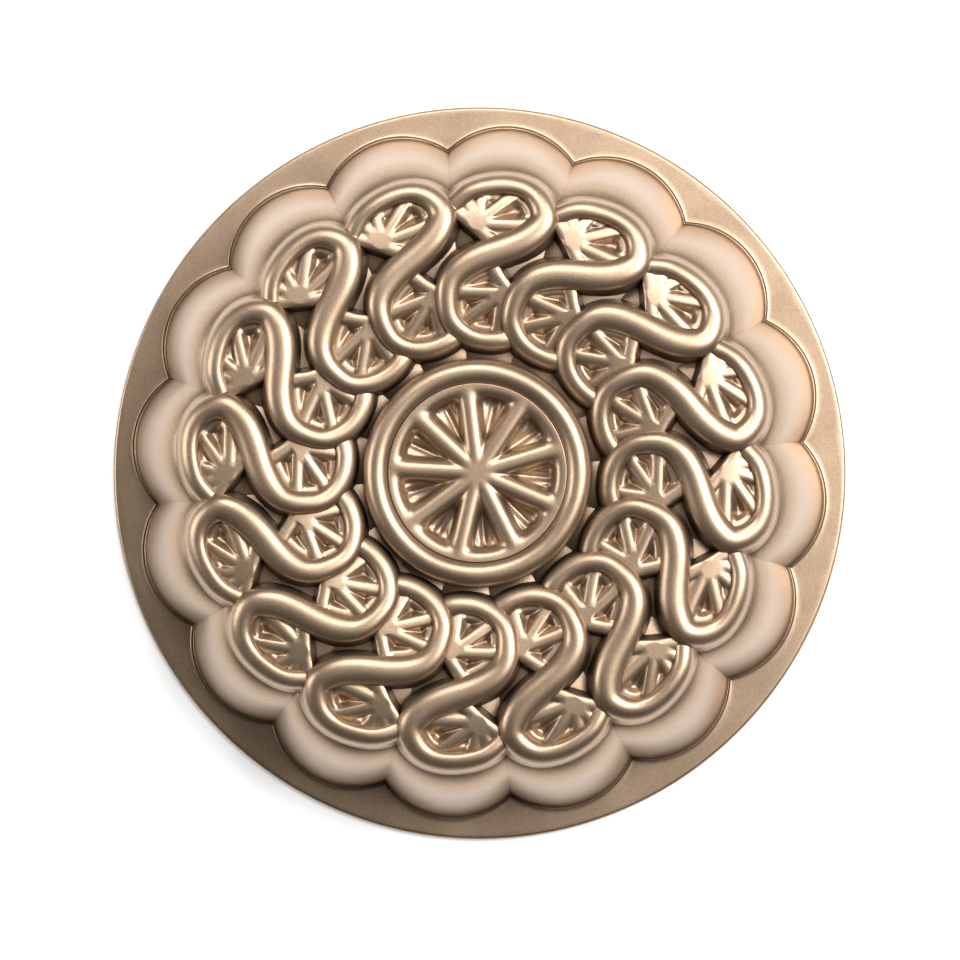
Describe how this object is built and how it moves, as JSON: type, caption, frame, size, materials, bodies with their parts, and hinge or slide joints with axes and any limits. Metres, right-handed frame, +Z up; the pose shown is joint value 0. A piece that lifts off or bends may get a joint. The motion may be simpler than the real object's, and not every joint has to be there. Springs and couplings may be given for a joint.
{
  "type": "bundt pan",
  "caption": "Cast ring-cake pan with a scalloped wall, swirling citrus peel ribbons and slices on its crown, a spoked wheel at the centre and a flat round rim flange.",
  "frame": {"origin": "centre of the rim face, on the pan's axis", "axes": "+Z up through the crown, the pan standing crown up on its rim; +X down the middle of one flute and along one spoke of the wheel"},
  "size_m": [0.257, 0.257, 0.071],
  "materials": {
    "coated_casting": "satin bronze non-stick coating on cast aluminium"
  },
  "bodies": {
    "root": {"rim_flange": "coated_casting", "wall_flutes": "coated_casting", "crown_flutes": "coated_casting", "peel_ribbons": "coated_casting", "outer_slices": "coated_casting", "inner_slices": "coated_casting", "centre_ring": "coated_casting", "citrus_wheel": "coated_casting", "centre_tube": "coated_casting"}
  },
  "joints": []
}
